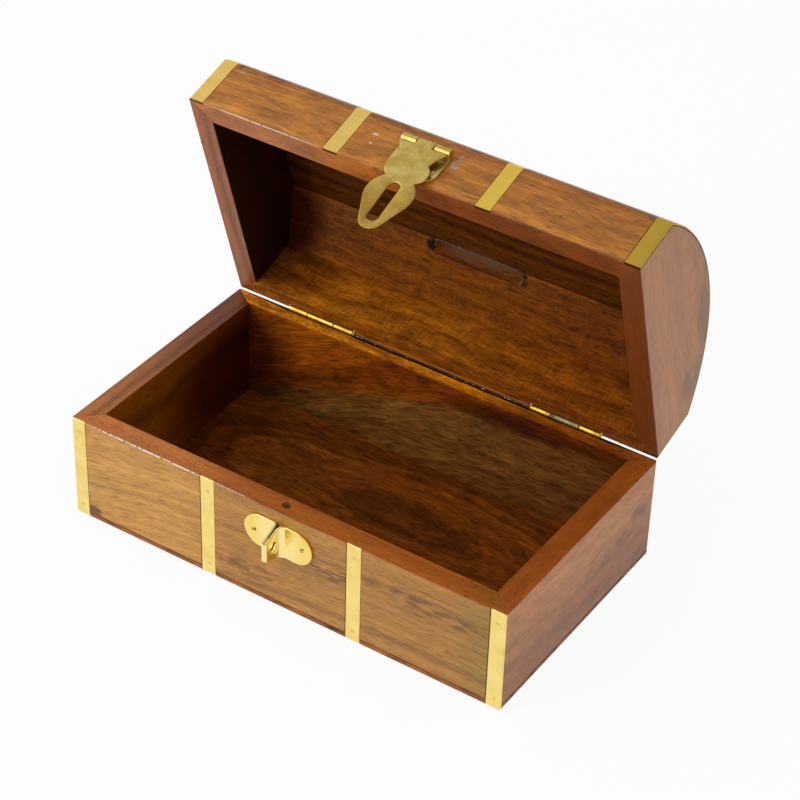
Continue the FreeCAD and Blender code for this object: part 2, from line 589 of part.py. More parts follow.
# Lid: mitred front and back walls, two domed ends, and three slats that close the dome
lid_wall = (lid_rim, "Sizes.lid_wall_height")
lid_front_board = mitred_wall("lid_front_board", lid_frame, front, front_inside, *lid_wall)
lid_back_board = mitred_wall("lid_back_board", lid_frame, half_depth, back_inside, *lid_wall)
lid_front_blank = common("lid_front_blank", lid_outline, lid_front_board)
lid_back_blank = common("lid_back_blank", lid_outline, lid_back_board)
all_lid_bands = list(lid_bands.values())
keep(cut("lid_front_wall", lid_front_blank, all_lid_bands + [hasp_nails]))
keep(cut("lid_back_wall", lid_back_blank, all_lid_bands + left_lid_cuts + right_lid_cuts))
for side, (low, high) in end_places.items():
    end_low = (low, front, lid_rim)
    end_block = box(f"lid_{side}_block", lid_frame, end_low, (high, half_depth, lid_blank_top))
    end_blank = common(f"lid_{side}_blank", lid_outline, end_block)
    keep(cut(f"lid_{side}_end", end_blank, [lid_front_board, lid_back_board, lid_bands[f"{side}_end"]]))
half_slat = "(Sizes.centre_slat_width / 2)"
ceiling = f"({lid_rim} + Sizes.centre_ceiling)"
wall_ceiling = f"({lid_rim} + Sizes.side_ceiling)"
centre_low = (f"-{inner_half_length}", f"-{half_slat}", ceiling)
centre_high = (inner_half_length, half_slat, lid_blank_top)
centre_block = box("centre_slat_block", lid_frame, centre_low, centre_high)
keep(cut("lid_centre_slat", common("centre_slat_blank", lid_outline, centre_block), inner_bands))

# Coin slot: drilled at both ends and sawn between, in the back slat's edge against the middle slat
slot_radius = "(Sizes.coin_slot_width / 2)"
slot_reach = f"(Sizes.coin_slot_length / 2 - {slot_radius})"
coin_low = (f"-{slot_reach}", half_slat, wall_ceiling)
coin_high = (slot_reach, f"{half_slat} + Sizes.coin_slot_width", lid_blank_top)
coin_pieces = [box("coin_slot_middle", lid_frame, coin_low, coin_high)]
for side, across in (("left", f"-{slot_reach}"), ("right", slot_reach)):
    drill_start = (across, f"{half_slat} + {slot_radius}", wall_ceiling)
    drill_length = f"{lid_blank_top} - {wall_ceiling}"
    coin_pieces.append(rod(f"coin_drill_{side}", lid_frame, "Z", drill_start, drill_length, slot_radius))

side_slats = (
    ("front", front, front_inside, f"-{half_slat}", inner_bands),
    ("back", half_depth, back_inside, half_slat, inner_bands + coin_pieces),
)
for which, outer, inner, joint, cuts in side_slats:
    corners = [
        (outer, lid_shelf),
        (inner, lid_shelf),
        (inner, wall_ceiling),
        (joint, ceiling),
        (joint, lid_blank_top),
        (outer, lid_blank_top),
    ]
    start = f"-{inner_half_length}"
    block = prism(f"{which}_slat_block", lid_frame, "YZ_Plane", start, f"2 * {inner_half_length}", corners)
    keep(cut(f"lid_{which}_slat", common(f"{which}_slat_blank", lid_outline, block), cuts))

# Every object has to be sound before anything is written
doc.recompute()
for thing in doc.Objects:
    if "Invalid" in thing.State or "Error" in thing.State:
        raise RuntimeError(f"{thing.Label} did not build: {thing.State}")
for thing in subparts:
    if thing.Shape.isNull() or not thing.Shape.isValid() or not thing.Shape.Solids:
        raise RuntimeError(f"{thing.Label} has no sound shape")
os.makedirs("parts", exist_ok=True)
for thing in subparts:
    thing.Shape.exportStep(f"parts/{thing.Label}.step")
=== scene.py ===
import json
import math

import bmesh
import bpy
import numpy as np
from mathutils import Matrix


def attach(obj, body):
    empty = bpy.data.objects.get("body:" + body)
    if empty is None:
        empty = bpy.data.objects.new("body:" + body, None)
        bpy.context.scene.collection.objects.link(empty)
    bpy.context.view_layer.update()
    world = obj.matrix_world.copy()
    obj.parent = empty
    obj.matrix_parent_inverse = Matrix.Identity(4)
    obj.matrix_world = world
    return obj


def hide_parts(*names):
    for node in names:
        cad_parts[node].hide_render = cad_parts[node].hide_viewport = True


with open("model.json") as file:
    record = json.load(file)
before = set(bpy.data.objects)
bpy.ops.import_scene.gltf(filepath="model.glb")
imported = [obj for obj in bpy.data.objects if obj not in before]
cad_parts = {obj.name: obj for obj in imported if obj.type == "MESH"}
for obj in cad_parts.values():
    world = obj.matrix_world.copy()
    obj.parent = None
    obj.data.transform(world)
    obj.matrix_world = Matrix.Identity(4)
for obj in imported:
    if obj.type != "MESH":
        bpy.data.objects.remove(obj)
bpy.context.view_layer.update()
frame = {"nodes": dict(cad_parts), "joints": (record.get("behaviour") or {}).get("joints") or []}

# Base floor: one thin board of sheesham, an Indian rosewood, glued under the four walls. It is flat-sawn,
# so broad dark swirls run over its face inside the box, and its rounded edge shows as a dark line under
# the front.


def linear(hex_colour):
    """A linear RGBA colour from an sRGB hex value: a straight foot near black, then a 2.4 power law."""
    srgb = np.array([int(hex_colour[i:i + 2], 16) for i in (1, 3, 5)]) / 255
    rgb = np.where(srgb <= 0.04045, srgb / 12.92, ((srgb + 0.055) / 1.055) ** 2.4)
    return (*rgb, 1.0)


def add(tree, kind, inputs=None, stops=(), **settings):
    """Adds one node, sets its properties and colour stops, and sets or links inputs by name or number."""
    node = tree.nodes.new(kind)
    for key, value in settings.items():
        setattr(node, key, value)
    for key, value in (inputs or {}).items():
        if isinstance(value, bpy.types.NodeSocket):
            tree.links.new(value, node.inputs[key])
        else:
            node.inputs[key].default_value = value
    for number, (position, colour) in enumerate(stops):
        elements = node.color_ramp.elements
        element = elements[number] if number < 2 else elements.new(position)
        element.position = position
        element.color = colour
    return node


# The frame holds the lid open, and the lid's wood and brass are read as they lie with it shut. About X the
# lid opens by the hinge's lower limit, because the hinge's own axis points the other way.
lid_hinge = next(joint for joint in frame["joints"] if joint["name"] == "lid_hinge")
hinge_pin = tuple(lid_hinge["pos_m"])
opening = math.radians(lid_hinge["range_deg"][0])


def shut_place(tree, lid):
    """The place on a piece in millimetres, and for a piece of the lid its place with the lid swung shut."""
    place = add(tree, "ShaderNodeTexCoord").outputs["Object"]
    pin = hinge_pin if lid else (0, 0, 0)
    turn = (opening, 0, 0) if lid else (0, 0, 0)
    shut = {"Vector": place, "Location": pin, "Rotation": turn, "Scale": (0.001, 0.001, 0.001)}
    local = add(tree, "ShaderNodeMapping", shut, vector_type="TEXTURE").outputs[0]
    pin_mm = tuple(1000 * value for value in pin)
    return add(tree, "ShaderNodeVectorMath", {0: local, 1: pin_mm}, operation="ADD").outputs[0]


def shaded(tree, colour, axes, shades):
    """Multiplies a colour by each shade as the coordinate on its axis passes from one value to another."""
    for axis, start, end, shade in shades:
        mask = add(tree, "ShaderNodeMapRange", {0: axes[axis], 1: start, 2: end},
                   interpolation_type="SMOOTHSTEP").outputs[0]
        colour = add(tree, "ShaderNodeMix", {0: mask, 6: colour, 7: linear(shade)}, data_type="RGBA",
                     blend_type="MULTIPLY").outputs[2]
    return colour


def sheesham(name, tones, turn=(0, 0, 0), lid=False, pith=(-60, 40), ring=4.0, eye=(0, 0), wander=6.0,
             lean=0.0, bow=0.0, fleck=0.3, fibre=0.1, mottle=0.1, ripple=0.0, rough=0.4, polish=0.5,
             shades=(), grain_shades=(), seams=False, stains_and_painted_light=(), wear=()):
    """Oiled and polished sheesham: brown rings of uneven width, fibres and dark open pores along the grain.

    The board is read in millimetres with the lid shut, and turned so that its grain runs along X. The
    grain line rises by lean times x plus bow times x squared, and slow noise makes it wander. A ring is the
    distance from the pith line, where eye gives a middle and a stretch along the grain for rings that close
    to ovals; one-line noise of that distance, as coarse as the ring, mixes the pale, middle and dark tones.
    fibre, mottle, fleck and ripple are the shares by which fibres, blotches, pores and ripples change that
    colour, rough is the roughness and polish the strength of the shine; the ripples are painted sheen.
    shades are (axis, from, to, colour), read straight, and grain_shades are the same read on the wandering
    grain.
    seams draws dark glue beside the brass bands on the front. stains_and_painted_light and wear are (centre,
    size, colour, grit, cover): inside that ellipsoid noise as coarse as the grit lays the colour on part of
    the wood. Wear hides the wood; a stain is drawn out four times along the grain and lets it show through.
    Some stains are real marks, and others are painted shade or painted sheen.
    """
    material = bpy.data.materials.new(name)
    material.use_nodes = True
    tree = material.node_tree
    shader = tree.nodes["Principled BSDF"]
    shader.inputs["IOR"].default_value = 1.5
    shader.inputs["Specular IOR Level"].default_value = polish
    where = shut_place(tree, lid)
    grain = add(tree, "ShaderNodeMapping", {"Vector": where, "Rotation": turn}).outputs[0]
    along = add(tree, "ShaderNodeSeparateXYZ", {0: grain}).outputs[0]
    slope = add(tree, "ShaderNodeMath", {0: along, 1: bow, 2: lean}, operation="MULTIPLY_ADD").outputs[0]
    rise = add(tree, "ShaderNodeMath", {0: along, 1: slope}, operation="MULTIPLY").outputs[0]
    rise = add(tree, "ShaderNodeCombineXYZ", {"Z": rise}).outputs[0]
    grain = add(tree, "ShaderNodeVectorMath", {0: grain, 1: rise}, operation="SUBTRACT").outputs[0]

    # The grain wanders over about 70 mm along the board and 22 mm across it
    slow = add(tree, "ShaderNodeMapping", {"Vector": grain, "Scale": (1 / 70, 1 / 22, 1 / 22)}).outputs[0]
    drift = add(tree, "ShaderNodeTexNoise", {"Vector": slow, "Scale": 1.0, "Detail": 2.0}).outputs["Color"]
    drift = add(tree, "ShaderNodeVectorMath", {0: drift, 1: (0.5, 0.5, 0.5)},
                operation="SUBTRACT").outputs[0]
    drift = add(tree, "ShaderNodeVectorMath", {0: drift, 1: (wander, wander, wander), 2: grain},
                operation="MULTIPLY_ADD").outputs[0]
    offset = add(tree, "ShaderNodeVectorMath", {0: drift, 1: (eye[0], *pith)},
                 operation="SUBTRACT").outputs[0]
    offset = add(tree, "ShaderNodeVectorMath", {0: offset, 1: (eye[1], 1, 1)},
                 operation="MULTIPLY").outputs[0]
    radius = add(tree, "ShaderNodeVectorMath", {0: offset}, operation="LENGTH").outputs["Value"]
    rings = add(tree, "ShaderNodeTexNoise",
                {"W": radius, "Scale": 1 / ring, "Detail": 3.0, "Roughness": 0.55},
                noise_dimensions="1D").outputs["Fac"]
    pale, middle, dark = (linear(tone) for tone in tones)
    colour = add(tree, "ShaderNodeValToRGB", {0: rings},
                 stops=((0.3, pale), (0.5, middle), (0.72, dark))).outputs["Color"]

    # Fibres 0.8 mm wide, blotches 5 mm wide, and pores 0.2 mm wide that are drawn 0.4 mm wide to show
    fine = add(tree, "ShaderNodeMapping", {"Vector": drift, "Scale": (1 / 7, 1 / 0.8, 1 / 0.8)}).outputs[0]
    thread = add(tree, "ShaderNodeTexNoise",
                 {"Vector": fine, "Scale": 1.0, "Detail": 3.0, "Roughness": 0.65}).outputs["Fac"]
    broad = add(tree, "ShaderNodeMapping", {"Vector": drift, "Scale": (1 / 14, 1 / 5, 1 / 5)}).outputs[0]
    blotch = add(tree, "ShaderNodeTexNoise", {"Vector": broad, "Scale": 1.0, "Detail": 3.0}).outputs["Fac"]
    thin = add(tree, "ShaderNodeMapping", {"Vector": drift, "Scale": (1 / 6, 1 / 0.4, 1 / 0.4)}).outputs[0]
    pore = add(tree, "ShaderNodeTexNoise", {"Vector": thin, "Scale": 1.0, "Detail": 1.0}).outputs["Fac"]
    pore_edge, pore_deep = 0.55, 0.68
    pore = add(tree, "ShaderNodeMapRange", {0: pore, 1: pore_edge, 2: pore_deep}).outputs[0]
    # Nearly all values of a noise lie between these two
    low, high = 0.3, 0.7
    light = add(tree, "ShaderNodeMapRange",
                {0: thread, 1: low, 2: high, 3: 1 - fibre, 4: 1 + fibre}).outputs[0]
    tone = add(tree, "ShaderNodeMapRange",
               {0: blotch, 1: low, 2: high, 3: 1 - mottle, 4: 1 + mottle}).outputs[0]
    light = add(tree, "ShaderNodeMath", {0: light, 1: tone}, operation="MULTIPLY").outputs[0]
    light = add(tree, "ShaderNodeMath", {0: pore, 1: -fleck, 2: light}, operation="MULTIPLY_ADD").outputs[0]
    if ripple:
        # Interlocked grain catches the light in ripples 1.2 mm apart across the board
        cross = add(tree, "ShaderNodeMapping",
                    {"Vector": drift, "Scale": (1 / 1.2, 1 / 6, 1 / 6)}).outputs[0]
        sheen = add(tree, "ShaderNodeTexNoise",
                    {"Vector": cross, "Scale": 1.0, "Detail": 1.0}).outputs["Fac"]
        trough, crest = 0.35, 0.65
        sheen = add(tree, "ShaderNodeMapRange",
                    {0: sheen, 1: trough, 2: crest, 3: -ripple, 4: ripple}).outputs[0]
        light = add(tree, "ShaderNodeMath", {0: light, 1: sheen}, operation="ADD").outputs[0]
    colour = add(tree, "ShaderNodeVectorMath", {0: colour, "Scale": light}, operation="SCALE").outputs[0]
    straight = add(tree, "ShaderNodeSeparateXYZ", {0: where}).outputs
    colour = shaded(tree, colour, straight, shades)
    colour = shaded(tree, colour, add(tree, "ShaderNodeSeparateXYZ", {0: drift}).outputs, grain_shades)
    if seams:
        # Dark glue shows 0.25 mm wide beside the inner bands and 0.35 mm wide beside the end bands
        inner_band, end_band = 33.9, 96.75
        band_half = 3.25
        front_y = -54.8
        reach = add(tree, "ShaderNodeMath", {0: straight["X"]}, operation="ABSOLUTE").outputs[0]
        inner = add(tree, "ShaderNodeMath", {0: reach, 1: inner_band, 2: band_half + 0.25},
                    operation="COMPARE").outputs[0]
        outer = add(tree, "ShaderNodeMath", {0: reach, 1: end_band, 2: band_half + 0.35},
                    operation="COMPARE").outputs[0]
        front = add(tree, "ShaderNodeMath", {0: straight["Y"], 1: front_y}, operation="LESS_THAN").outputs[0]
        mask = add(tree, "ShaderNodeMath", {0: inner, 1: outer}, operation="MAXIMUM").outputs[0]
        mask = add(tree, "ShaderNodeMath", {0: mask, 1: front}, operation="MULTIPLY").outputs[0]
        colour = add(tree, "ShaderNodeMix", {0: mask, 6: colour, 7: linear("#8c6450")}, data_type="RGBA",
                     blend_type="MULTIPLY").outputs[2]
    drawn = add(tree, "ShaderNodeVectorMath", {0: drift, 1: (0.25, 1, 1)}, operation="MULTIPLY").outputs[0]
    marks = [(*mark, "MULTIPLY", drawn) for mark in stains_and_painted_light] + [(*mark, "MIX", where) for mark in wear]
    for centre, size, tint, grit, cover, laid, lie in marks:
        # A mark fades out in the outer part of its ellipsoid, and more cover lowers the noise it starts at
        reach = add(tree, "ShaderNodeVectorMath", {0: where, 1: centre}, operation="SUBTRACT").outputs[0]
        reach = add(tree, "ShaderNodeVectorMath", {0: reach, 1: size}, operation="DIVIDE").outputs[0]
        reach = add(tree, "ShaderNodeVectorMath", {0: reach}, operation="LENGTH").outputs["Value"]
        near = add(tree, "ShaderNodeMapRange", {0: reach, 1: 1.0, 2: 0.6}).outputs[0]
        patch = add(tree, "ShaderNodeTexNoise",
                    {"Vector": lie, "Scale": 1 / grit, "Detail": 2.0}).outputs["Fac"]
        edge = 0.75 - 0.5 * cover
        soft = 0.08
        patch = add(tree, "ShaderNodeMapRange", {0: patch, 1: edge - soft, 2: edge + soft}).outputs[0]
        mask = add(tree, "ShaderNodeMath", {0: near, 1: patch}, operation="MULTIPLY").outputs[0]
        colour = add(tree, "ShaderNodeMix", {0: mask, 6: colour, 7: linear(tint)}, data_type="RGBA",
                     blend_type=laid).outputs[2]
    tree.links.new(colour, shader.inputs["Base Color"])

    # Raised fibres are rubbed smoother than the hollows between them, and the pores lie deepest
    gloss = add(tree, "ShaderNodeMapRange", {0: thread, 1: low, 2: high, 3: rough + 0.06, 4: rough - 0.05})
    tree.links.new(gloss.outputs[0], shader.inputs["Roughness"])
    height = add(tree, "ShaderNodeMath", {0: pore, 1: -0.8, 2: thread}, operation="MULTIPLY_ADD").outputs[0]
    bump = add(tree, "ShaderNodeBump", {"Strength": 0.3, "Distance": 0.0001, "Height": height})
    tree.links.new(bump.outputs[0], shader.inputs["Normal"])
    return material


def finish_node(name, material, edge=0.0):
    """Gives a CAD node its material, and breaks its sharp edges as sanding does.

    edge is the width of the broken edge in millimetres, and at 0 the edges stay as they are.
    """
    node = frame["nodes"][name]
    node.material_slots[0].material = material
    if edge == 0:
        return
    weld = node.modifiers.new("one_skin", "WELD")
    weld.merge_threshold = 2e-6
    dissolve = node.modifiers.new("flat_faces", "DECIMATE")
    dissolve.decimate_type = "DISSOLVE"
    dissolve.angle_limit = math.radians(0.5)
    bevel = node.modifiers.new("broken_edges", "BEVEL")
    bevel.width = edge / 1000
    bevel.segments = 2
    bevel.limit_method = "ANGLE"
    bevel.angle_limit = math.radians(35)
    bevel.use_clamp_overlap = False
    normals = node.modifiers.new("flats_stay_flat", "WEIGHTED_NORMAL")
    normals.weight = 80


# Flat-sawn and left unpolished: wide dark swirls with long flecks, yellower on top than at the edge, and
# hardly any shine
floor_wood = sheesham("sheesham_floor_board", ("#b4763e", "#955c2e", "#4e2e18"),
                      turn=(math.radians(90), 0, 0), pith=(-12, 14), ring=7.0, eye=(8, 0.3), wander=14,
                      fleck=0.42, fibre=0.52, mottle=0.3, polish=0.15,
                      shades=(("Z", 3.2, 3.7, "#c6a552"),))
finish_node("base_floor", floor_wood, edge=0.3)

# Base walls: four boards of sheesham, mitred and glued at the corners, oiled and polished. The front is a
# pale, straight-grained board, the others are darker and redder, and the rims are the boards' own edges.

# Quarter-sawn and rubbed to a soft shine: pale gold with fine dark pores, a deeper gold rim with whitened
# chips, and a brown face inside
front_wood = sheesham("sheesham_base_front", ("#d49b44", "#c88f3b", "#b07c36"), pith=(-70, 60), ring=4.0,
                      lean=0.1, bow=-0.0006, wander=5, fleck=0.4, fibre=0.16, mottle=0.07, seams=True,
                      shades=(("Z", 47.3, 47.7, "#f6c060"),
                              ("Y", -46.0, -45.6, "#8a5a30"),
                              ("X", -48, -20, "#e3dbc8"),
                              ("X", 20, 60, "#faf8f6"),
                              ("X", 76, 90, "#ecfdff")),
                      stains_and_painted_light=(((66, -55, 34), (36, 2, 5), "#c2b6a4", 1.6, 0.45),
                              ((23, -55, 30), (12, 2, 5), "#b8ac9c", 1.4, 0.5),
                              ((-16, -55, 13), (20, 2, 5), "#c4b8a4", 1.4, 0.45),
                              ((-91, -55, 5.5), (5, 2, 3), "#98845c", 3.0, 0.8)),
                      wear=(((-62, -55, 48), (38, 0.6, 0.5), "#f0e4d4", 1.6, 0.7),
                            ((-26, -55, 48), (15, 0.5, 0.4), "#d8c4b0", 1.0, 0.6)))
finish_node("base_front_wall", front_wood, edge=0.2)

# Sanded but hardly polished: a bright orange rim, painted lighter than its wood as painted light against
# the lid's shade, and faces streaked brown along a grain that curves, more golden above one grain line and
# browner below it, with painted shade in the inside corner at the left end
back_wood = sheesham("sheesham_base_back", ("#ec9a40", "#e08a36", "#b86a26"), pith=(-40, 70), ring=6.0,
                     lean=0.2, bow=-0.0015, wander=12, fleck=0.38, fibre=0.54, mottle=0.28, polish=0.2,
                     shades=(("Y", 48.9, 48.4, "#ab8f92"),
                             ("Y", 54.75, 54.9, "#c799ce"),
                             ("X", 10, 70, "#eaddeb")),
                     grain_shades=(("Z", 33, 38, "#ffff89"), ("Z", 38, 33, "#d0ffff")),
                     stains_and_painted_light=(((80, 52, 48), (62, 8, 1), "#c4b5b8", 6.0, 1.0),
                             ((28, 47.6, 41.8), (34, 2.2, 5), "#b4a8a6", 6.0, 1.0),
                             ((50, 47.6, 44), (34, 2.2, 5), "#b4a8a6", 6.0, 1.0),
                             ((84, 47.6, 43.6), (24, 2.2, 6.5), "#dcf4ff", 6.0, 1.0),
                             # Painted shade: the inside of the back darkens into its left-hand corner
                             ((-96, 47.6, 24), (34, 2.2, 34), "#b4a29e", 6.0, 1.0)))
finish_node("base_back_wall", back_wood, edge=0.12)

# Red-brown with faint streaks from front to back, yellower inside, and darker to the back as painted shade
front_to_back = (0, 0, math.radians(90))
left_wood = sheesham("sheesham_base_left", ("#b86e2a", "#a45e20", "#7e481c"), turn=front_to_back,
                     pith=(60, 70), ring=6.0, wander=9, fibre=0.14, fleck=0.35, polish=0.4,
                     shades=(("X", -91.0, -90.7, "#fff656"), ("Y", -45, 40, "#b09488")),
                     stains_and_painted_light=(((-90.5, 55, 22), (2.5, 72, 26), "#98707c", 6.0, 1.0),))
finish_node("base_left_wall", left_wood, edge=0.12)

# Warm tan with broad, soft figure and a satin shine, browner at the rim, and painted shade that darkens
# it towards the floor
right_wood = sheesham("sheesham_base_right", ("#c8803c", "#be7634", "#ac6b30"), turn=front_to_back,
                      pith=(60, 70), ring=9.0, wander=16, lean=0.15, fibre=0.12, mottle=0.16, fleck=0.2,
                      polish=0.42,
                      shades=(("Z", 47.3, 47.7, "#d4b067"), ("Z", 38, 10, "#d8c8a6")),
                      stains_and_painted_light=(((100, 44.5, 30), (3, 9, 5), "#c0b4ac", 5.0, 0.5),
                              ((100, 15, 23), (3, 12, 4), "#c4b8b0", 5.0, 0.5),
                              ((100, 33, 24), (3, 9, 5), "#c4b8b0", 5.0, 0.45)))
finish_node("base_right_wall", right_wood, edge=0.12)

# Base bands: quarter-inch brass strip let into the front flush with the wood and pinned near both ends with
# brass pins. It is sanded with the box, so the metal is bright and pale with a soft shine.


def brass(name, bright, dull, rough, patch=7.0, lid=False, shades=()):
    """Sheet brass, rubbed bright: clouds of faint tarnish over a few millimetres, and fine rubbing marks.

    Clouds are slow noise that mixes the bright and the dull colour and roughens the metal. Marks are noise
    drawn out along X, 9 mm long and 0.5 mm wide, coarser than real ones so that they show, and give a faint
    bump. shades are as for the wood.
    """
    material = bpy.data.materials.new(name)
    material.use_nodes = True
    tree = material.node_tree
    shader = tree.nodes["Principled BSDF"]
    shader.inputs["Metallic"].default_value = 1.0
    where = shut_place(tree, lid)
    cloud = add(tree, "ShaderNodeTexNoise",
                {"Vector": where, "Scale": 1 / patch, "Detail": 4.0, "Roughness": 0.6}).outputs["Fac"]
    clear, clouded = 0.38, 0.68
    cloud = add(tree, "ShaderNodeMapRange", {0: cloud, 1: clear, 2: clouded}).outputs[0]
    colour = add(tree, "ShaderNodeMix", {0: cloud, 6: linear(bright), 7: linear(dull)},
                 data_type="RGBA").outputs[2]
    colour = shaded(tree, colour, add(tree, "ShaderNodeSeparateXYZ", {0: where}).outputs, shades)
    tree.links.new(colour, shader.inputs["Base Color"])
    lines = add(tree, "ShaderNodeMapping", {"Vector": where, "Scale": (1 / 9, 1 / 0.5, 1 / 0.5)}).outputs[0]
    mark = add(tree, "ShaderNodeTexNoise", {"Vector": lines, "Scale": 1.0, "Detail": 2.0}).outputs["Fac"]
    gloss = add(tree, "ShaderNodeMapRange", {0: cloud, 3: rough, 4: rough + 0.14}).outputs[0]
    gloss = add(tree, "ShaderNodeMath", {0: mark, 1: 0.12, 2: gloss}, operation="MULTIPLY_ADD").outputs[0]
    tree.links.new(gloss, shader.inputs["Roughness"])
    bump = add(tree, "ShaderNodeBump", {"Strength": 0.12, "Distance": 0.00005, "Height": mark})
    tree.links.new(bump.outputs[0], shader.inputs["Normal"])
    return material


band_places = ("left_end", "left", "right", "right_end")
# Sanded flat: a pale, even yellow with a blurred shine
band_brass = brass("brass_strip_sanded", "#fbe18c", "#f5d578", 0.30)
for place in band_places:
    finish_node(f"base_band_{place}", band_brass, edge=0.25)
# Filed flush: small rounds that are a little duller than the strip
pin_brass = brass("brass_pin_filed", "#f6dc84", "#e4c46a", 0.34, patch=2.0)
finish_node("base_band_pins", pin_brass, edge=0.12)

# Staple: a strip of brass folded double into a tab that stands out through the hasp's slot, with two round
# ears nailed to the base's front. It is polished and lacquered, so it mirrors the room.


def bent_strip(path, facing, across, low, high, gap_half, thickness, edge):
    """Sheet metal cut to shape and bent: a flat section with rounded edges, carried along a path.

    At each step the section reaches from low to high along one direction, and half a thickness to both sides
    of the path along the way the sheet faces. Where gap_half is above 0 a hole that wide to both sides of
    the path splits the section. Each half is a loop: quarter turns round its inner edge, across the back,
    quarter turns round its outer edge, and back across the face. Lengths are in millimetres.
    """
    turns = np.linspace(0, np.pi / 2, 4)
    swell, drop = 1 - np.sin(turns), 1 - np.cos(turns)
    shares = np.linspace(0, 1, 6)[1:-1]
    count = len(path)
    points, faces = [], []
    for side, outer in ((1, high), (-1, low)):
        inner = side * gap_half
        inner_round = np.minimum(edge, gap_half)[:, None]
        outer_round = np.minimum(edge, np.abs(outer - inner) / 2)[:, None]
        near = inner[:, None] + side * inner_round * swell
        far = outer[:, None] - side * outer_round * swell
        near_up = thickness / 2 - inner_round * drop
        far_up = thickness / 2 - outer_round * drop
        flat = near[:, :1] + (far[:, :1] - near[:, :1]) * shares
        flat_up = np.full_like(flat, thickness / 2)
        reach = np.hstack((near, near[:, ::-1], flat, far, far[:, ::-1], flat[:, ::-1]))
        rise = np.hstack((near_up, -near_up[:, ::-1], -flat_up, -far_up, far_up[:, ::-1], flat_up))
        loop = path[:, None] + reach[..., None] * across + rise[..., None] * facing[:, None]
        columns = reach.shape[1]
        number = np.arange(count * columns).reshape(count, columns) + len(points) * count * columns
        beside = np.roll(number, -1, axis=1)
        quads = np.stack((number[:-1], beside[:-1], beside[1:], number[1:]), axis=-1)
        shown = np.ones(quads.shape[:2], bool)
        closed = (gap_half[:-1] == 0) & (gap_half[1:] == 0)
        shown[:, :2 * len(turns) - 1] = ~closed[:, None]
        faces += quads[shown].tolist()
        for row in (0, -1):
            if abs(outer[row] - inner[row]) > 1e-6:
                faces.append(number[row, 2 * len(turns) - 1:].tolist() + [int(number[row, 0])])
        points.append(loop.reshape(-1, 3))
    return np.vstack(points), faces


def new_piece(name, points, faces, material, body, replaced=()):
    """Puts points in millimetres and faces into one closed mesh, and the piece on its body."""
    mesh = bpy.data.meshes.new(name)
    mesh.from_pydata((points / 1000).tolist(), [], faces)
    solid = bmesh.new()
    solid.from_mesh(mesh)
    bmesh.ops.remove_doubles(solid, verts=solid.verts, dist=2e-7)
    bmesh.ops.dissolve_degenerate(solid, edges=solid.edges, dist=2e-7)
    bmesh.ops.recalc_face_normals(solid, faces=solid.faces)
    solid.to_mesh(mesh)
    solid.free()
    mesh.shade_smooth()
    mesh.materials.append(material)
    piece = bpy.data.objects.new(name, mesh)
    bpy.context.scene.collection.objects.link(piece)
    normals = piece.modifiers.new("flats_stay_flat", "WEIGHTED_NORMAL")
    normals.weight = 80
    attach(piece, body)
    if replaced:
        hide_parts(*replaced)


# Polished and lacquered: a clear yellow mirror, painted paler in the middle as a painted reflection and a
# little deeper in colour towards the ears
fitting_brass = brass("brass_fitting_polished", "#ffe89c", "#fade8e", 0.12, patch=14.0,
                      shades=(("X", 5, 12, "#fbf0c8"), ("X", -5, -12, "#fbf0c8")))

# The middle of the staple's sheet seen from above, in millimetres: x from the staple's middle, y in the
# box's frame, whose front is at -55. It runs from the left ear round the tab to the right ear, and plain
# numbers are steps along the flats.
ear_y = -55.5
ear_radius = 7.5
ear_middle = 8.15
ply_x = 0.8
left_bend, right_bend = 1.2, 3.0
hole_y, hole_radius = -60.6, 2.2
fold_y = -64.2
quarter = np.linspace(0, np.pi / 2, 7)[1:]
half_turn = np.linspace(0, np.pi, 13)
ear_round = ear_radius * (1 - np.cos(np.linspace(0, np.pi / 2, 14)))
ear_x = np.r_[-(ear_middle + ear_radius) + ear_round, -6, -4, -3, -2.4]
ear_left = np.column_stack((ear_x, np.full(len(ear_x), ear_y)))
bend_left = np.column_stack((-ply_x - left_bend + left_bend * np.sin(quarter),
                             ear_y - left_bend + left_bend * np.cos(quarter)))
hole_steps = hole_y + hole_radius * np.sin(np.linspace(np.pi / 2, -np.pi / 2, 15))
ply_y = np.r_[-57.2, -57.8, hole_steps, -63.5]
ply_left = np.column_stack((np.full(len(ply_y), -ply_x), ply_y))
fold = np.column_stack((-ply_x * np.cos(half_turn), fold_y - ply_x * np.sin(half_turn)))
# The right bend is wider, so the right ply and the right ear stop short of it
ply_right = ply_left[::-1][:-2] * (-1, 1)
bend_right = np.column_stack((ply_x + right_bend - right_bend * np.cos(quarter),
                              ear_y - right_bend + right_bend * np.sin(quarter)))
ear_right = ear_left[::-1] * (-1, 1)
ear_right = ear_right[ear_right[:, 0] > 4]
plan = np.vstack((ear_left, bend_left, ply_left, fold, ply_right, bend_right, ear_right))
plan_x, plan_y = plan.T
run = np.gradient(plan, axis=0)
run /= np.linalg.norm(run, axis=1)[:, None]
staple_height = 35.25
staple_path = np.column_stack((plan, np.full(len(plan), staple_height)))
staple_facing = np.column_stack((run[:, 1], -run[:, 0], np.zeros(len(plan))))

